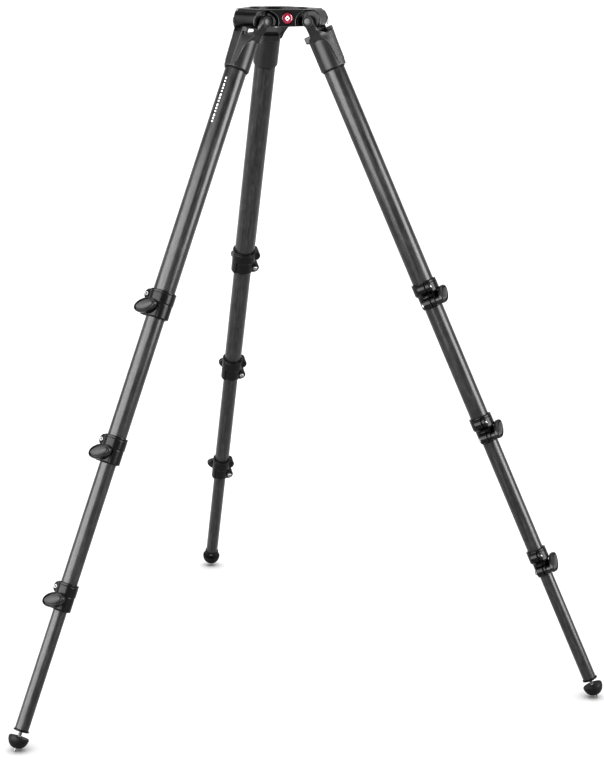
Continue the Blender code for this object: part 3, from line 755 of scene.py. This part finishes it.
def spike_meshes():
    rod = threaded(SPIKE_RADIUS, 0.7 * MM, 1.25 * MM, -SPIKE_TIP + 12 * MM, -TUBE_END + 14.3 * MM, "rod")
    tip = spindle(((SPIKE_RADIUS - 0.2 * MM, -SPIKE_TIP + 12 * MM), (SPIKE_RADIUS - 0.2 * MM, -SPIKE_TIP + 10 * MM),
                   (0.6 * MM, -SPIKE_TIP)), "tip", 28)
    lock = spindle(((SPIKE_RADIUS + 2.4 * MM, -TUBE_END + 17 * MM), (SPIKE_RADIUS + 2.4 * MM, -TUBE_END + 14.3 * MM)),
                   "lock", 32)
    return joined("spike", rod, tip, lock)


def foot_mesh():
    """The rubber dome: a flat top with a raised rim, a boss at the bore, and a rounded underside."""
    outline = [(14.6, 1219.3), (15.0, 1218.7), (15.7, 1218.6), (16.3, 1219.0), (16.5, 1219.9), (16.5, 1221.4),
               (16.3, 1223.5), (15.6, 1226.2), (14.6, 1228.5), (13.2, 1230.9), (11.4, 1233.0), (9.4, 1234.8),
               (7.2, 1236.0), (5.4, 1236.6), (4.2, 1236.8), (3.2, 1236.8), (3.2, 1218.4), (5.0, 1218.4),
               (5.4, 1219.3)]
    return turned([(r * MM, -s * MM) for r, s in outline], "foot", 72)


def plug_mesh():
    inner = TUBE_RADII[3] - TUBE_WALL - GAP
    flange = 13.0 * MM
    bore = SPIKE_RADIUS + GAP
    outline = ((inner, -TUBE_END + 14 * MM), (inner, -TUBE_END - GAP), (flange - 1.6 * MM, -TUBE_END - GAP),
               (flange, -TUBE_END - 0.9 * MM), (flange, -TUBE_END - 2.3 * MM), (flange - 1 * MM, -TUBE_END - 3 * MM),
               (bore, -TUBE_END - 3 * MM), (bore, -TUBE_END + 14 * MM))
    return turned(rounded(outline, 0.25 * MM), "plug")


# ---------------------------------------------------------------- legs


def marking_mesh():
    """A plain row of print dashes along the upper tube, just proud of its surface."""
    shape = bmesh.new()
    radius = TUBE_RADII[0] + 0.06 * MM
    middle = radians(9)
    half = radians(5)
    start = 104 * MM
    for k in range(14):
        low = start + k * 5.8 * MM
        high = low + (3.6, 2.4, 4.2)[k % 3] * MM
        columns = []
        for i in range(9):
            a = middle - half + 2 * half * i / 8
            columns.append([shape.verts.new((radius * cos(a), radius * sin(a), -s)) for s in (low, high)])
        for left, right in zip(columns, columns[1:]):
            shape.faces.new((left[0], left[1], right[1], right[0]))
    mesh = bpy.data.meshes.new("marking")
    bmesh.ops.recalc_face_normals(shape, faces=shape.faces)
    shape.to_mesh(mesh)
    shape.free()
    return mesh


def build_legs():
    bracket, beads, pin, selector = bracket_mesh(), shield_beads(), pin_mesh(), selector_mesh()
    ends = [top + SEAT for top in CLAMP_TOPS] + [TUBE_END]
    tubes = []
    for radius, top, end in zip(TUBE_RADII, TUBE_TOPS, ends):
        outline = ((radius, -top), (radius, -end), (radius - TUBE_WALL, -end), (radius - TUBE_WALL, -top))
        tubes.append(turned(rounded(outline, 0.3 * MM), "tube", 72))
    gasket = turned(rounded(((19.3 * MM, -SOCKET_END - 0.3 * MM), (19.3 * MM, -SOCKET_END - 2.0 * MM),
                             (TUBE_RADII[0] + 0.1 * MM, -SOCKET_END - 2.0 * MM),
                             (TUBE_RADII[0] + 0.1 * MM, -SOCKET_END - 0.3 * MM)), 0.5 * MM), "gasket")
    collars = [collar_mesh(TUBE_RADII[n], TUBE_RADII[n + 1]) for n in range(3)]
    hardware = [clamp_hardware(TUBE_RADII[n]) for n in range(3)]
    knobs = [knob_meshes(TUBE_RADII[n]) for n in range(3)]
    pinch = [moved(moved(screw_head(3.6 * MM, 2.6 * MM, 1.7 * MM, "pinch_screw"), ALONG_X),
                   Matrix.Translation((ear_outer(TUBE_RADII[n]), -bolt_line(TUBE_RADII[n]), -10.3 * MM)))
             for n in range(3)]
    plug, spike, foot = plug_mesh(), spike_meshes(), foot_mesh()

    holders = ("leg", "section_2", "section_3", "section_4")
    for leg, azimuth in LEGS.items():
        at = leg_frame(azimuth)
        top = f"leg_{leg}"
        add(f"bracket_{leg}", bracket, BRACKET_PAINT, top, at, (f"leg_bracket_{leg}",), sharp=0)
        # The shield's edge beads take the lighter edge paint: a painted highlight along the shield's edges.
        add(f"bracket_edges_{leg}", beads, PAINTED_EDGE_HIGHLIGHT, top, at)
        add(f"pin_{leg}", pin, LOBE_PAINT, top, at, (f"hinge_pin_{leg}",))
        add(f"selector_tab_{leg}", selector, TAB_PLASTIC, f"selector_{leg}", at,
            (f"angle_selector_{leg}",))
        add(f"gasket_{leg}", gasket, RUBBER, top, at)
        for n, mesh in enumerate(tubes):
            add(f"carbon_tube_{n + 1}_{leg}", mesh, CARBON, f"{holders[n]}_{leg}", at,
                (f"tube_{n + 1}_{leg}",))
        for n, drop in enumerate(CLAMP_TOPS):
            holder = f"{holders[n]}_{leg}"
            turning = f"knob_{n + 1}_{leg}"
            at_collar = at @ Matrix.Translation((0, 0, -drop))
            at_bolt = at @ Matrix.Translation((0, -bolt_line(TUBE_RADII[n]), -drop - BOLT_DROP))
            add(f"collar_{n + 1}_{leg}", collars[n], COLLAR_PAINT, holder, at_collar,
                (f"clamp_collar_{n + 1}_{leg}",), sharp=0)
            add(f"pinch_screw_{n + 1}_{leg}", pinch[n], DARK_STEEL, holder, at_collar)
            add(f"bolt_set_{n + 1}_{leg}", hardware[n], DARK_STEEL, holder, at_bolt,
                (f"clamp_bolt_{n + 1}_{leg}",))
            add(f"knob_body_{n + 1}_{leg}", knobs[n][0], KNOB_RIM, turning, at_bolt,
                (f"clamp_knob_{n + 1}_{leg}",))
            add(f"knob_face_{n + 1}_{leg}", knobs[n][1], KNOB_SKIN, turning, at_bolt)
        last = f"section_4_{leg}"
        add(f"plug_{leg}", plug, COLLAR_PAINT, last, at, (f"end_plug_{leg}",))
        add(f"spike_rod_{leg}", spike, DARK_STEEL, last, at, (f"spike_{leg}",))
        add(f"foot_{leg}", foot, RUBBER, f"foot_{leg}", at, (f"rubber_foot_{leg}",))
    add("tube_marking", marking_mesh(), PRINT, "leg_left", leg_frame(LEGS["left"]))


# ---------------------------------------------------------------- studio


def build_stage():
    floor_look = Nodes("studio_floor")
    shade = floor_look.noise(0.6, 2.0)
    floor_look.join(floor_look.ramp(shade, (0.2, (0.90, 0.90, 0.90)), (0.8, (0.93, 0.93, 0.93))),
                    floor_look.shader.inputs["Base Color"])
    floor_look.shader.inputs["Roughness"].default_value = 0.9
    floor_look.shader.inputs["Specular IOR Level"].default_value = 0.1
    shape = bmesh.new()
    bmesh.ops.create_grid(shape, x_segments=2, y_segments=2, size=60)
    floor_mesh = bpy.data.meshes.new("floor")
    shape.to_mesh(floor_mesh)
    shape.free()
    floor_mesh.materials.append(floor_look.material)
    floor = bpy.data.objects.new("floor", floor_mesh)
    bpy.context.scene.collection.objects.link(floor)


def area_light(name, position, target, width, height, power, lit):
    lamp = bpy.data.lights.new(name, "AREA")
    lamp.shape = "RECTANGLE"
    lamp.size, lamp.size_y = width, height
    lamp.energy = power
    holder = bpy.data.objects.new(name, lamp)
    bpy.context.scene.collection.objects.link(holder)
    holder.location = position
    holder.rotation_euler = (Vector(target) - Vector(position)).to_track_quat("-Z", "Y").to_euler()
    holder.light_linking.receiver_collection = lit


def build_light():
    world = bpy.data.worlds.new("studio")
    world.use_nodes = True
    world.node_tree.nodes["Background"].inputs["Color"].default_value = (1.0, 1.0, 1.0, 1.0)
    # The sky is pale near the horizon, where other views see it, and dim overhead.
    tree = world.node_tree
    direction = tree.nodes.new("ShaderNodeTexCoord")
    parts = tree.nodes.new("ShaderNodeSeparateXYZ")
    fade = tree.nodes.new("ShaderNodeMapRange")
    for socket, value in (("From Min", 0.25), ("From Max", 0.55), ("To Min", 1.0), ("To Max", 0.15)):
        fade.inputs[socket].default_value = value
    tree.links.new(direction.outputs["Generated"], parts.inputs["Vector"])
    tree.links.new(parts.outputs["Z"], fade.inputs["Value"])
    tree.links.new(fade.outputs["Result"], tree.nodes["Background"].inputs["Strength"])
    bpy.context.scene.world = world
    overhead = bpy.data.lights.new("overhead", "SUN")
    overhead.energy, overhead.angle = 3.3, radians(100)
    holder = bpy.data.objects.new("overhead", overhead)
    bpy.context.scene.collection.objects.link(holder)
    # The soft boxes light the tripod and leave the floor to the overhead light.
    lit = bpy.data.collections.new("lit")
    for thing in bpy.context.scene.objects:
        if thing.type == "MESH" and thing.name != "floor":
            lit.objects.link(thing)
    area_light("left_box", (-2.4, -1.25, 1.3), (0, 0, 0.7), 4.1, 2.6, 330, lit)
    area_light("right_box", (2.5, -2.0, 1.3), (0, 0, 0.7), 1.9, 2.4, 190, lit)


def build_camera():
    pitch = radians(13.14)
    heading = Vector((0.2477, 0.9689, 0)).normalized()
    forward = Vector((heading.x * cos(pitch), heading.y * cos(pitch), -sin(pitch)))
    turn = forward.to_track_quat("-Z", "Y").to_matrix().to_4x4() @ Matrix.Rotation(radians(0.41), 4, "Z")
    lens = bpy.data.cameras.new("camera")
    lens.lens, lens.sensor_width, lens.sensor_fit = 95.7, 36.0, "AUTO"
    lens.clip_start, lens.clip_end = 0.05, 400
    camera = bpy.data.objects.new("camera", lens)
    bpy.context.scene.collection.objects.link(camera)
    camera.matrix_world = Matrix.Translation((-0.802, -3.453, 1.3128)) @ turn
    bpy.context.scene.camera = camera


build_hub()
build_legs()
build_stage()
build_light()
build_camera()
bpy.context.scene.view_settings.view_transform = "Standard"
bpy.context.scene.view_settings.look = "None"
bpy.context.scene.view_settings.gamma = 0.74

bpy.context.view_layer.update()
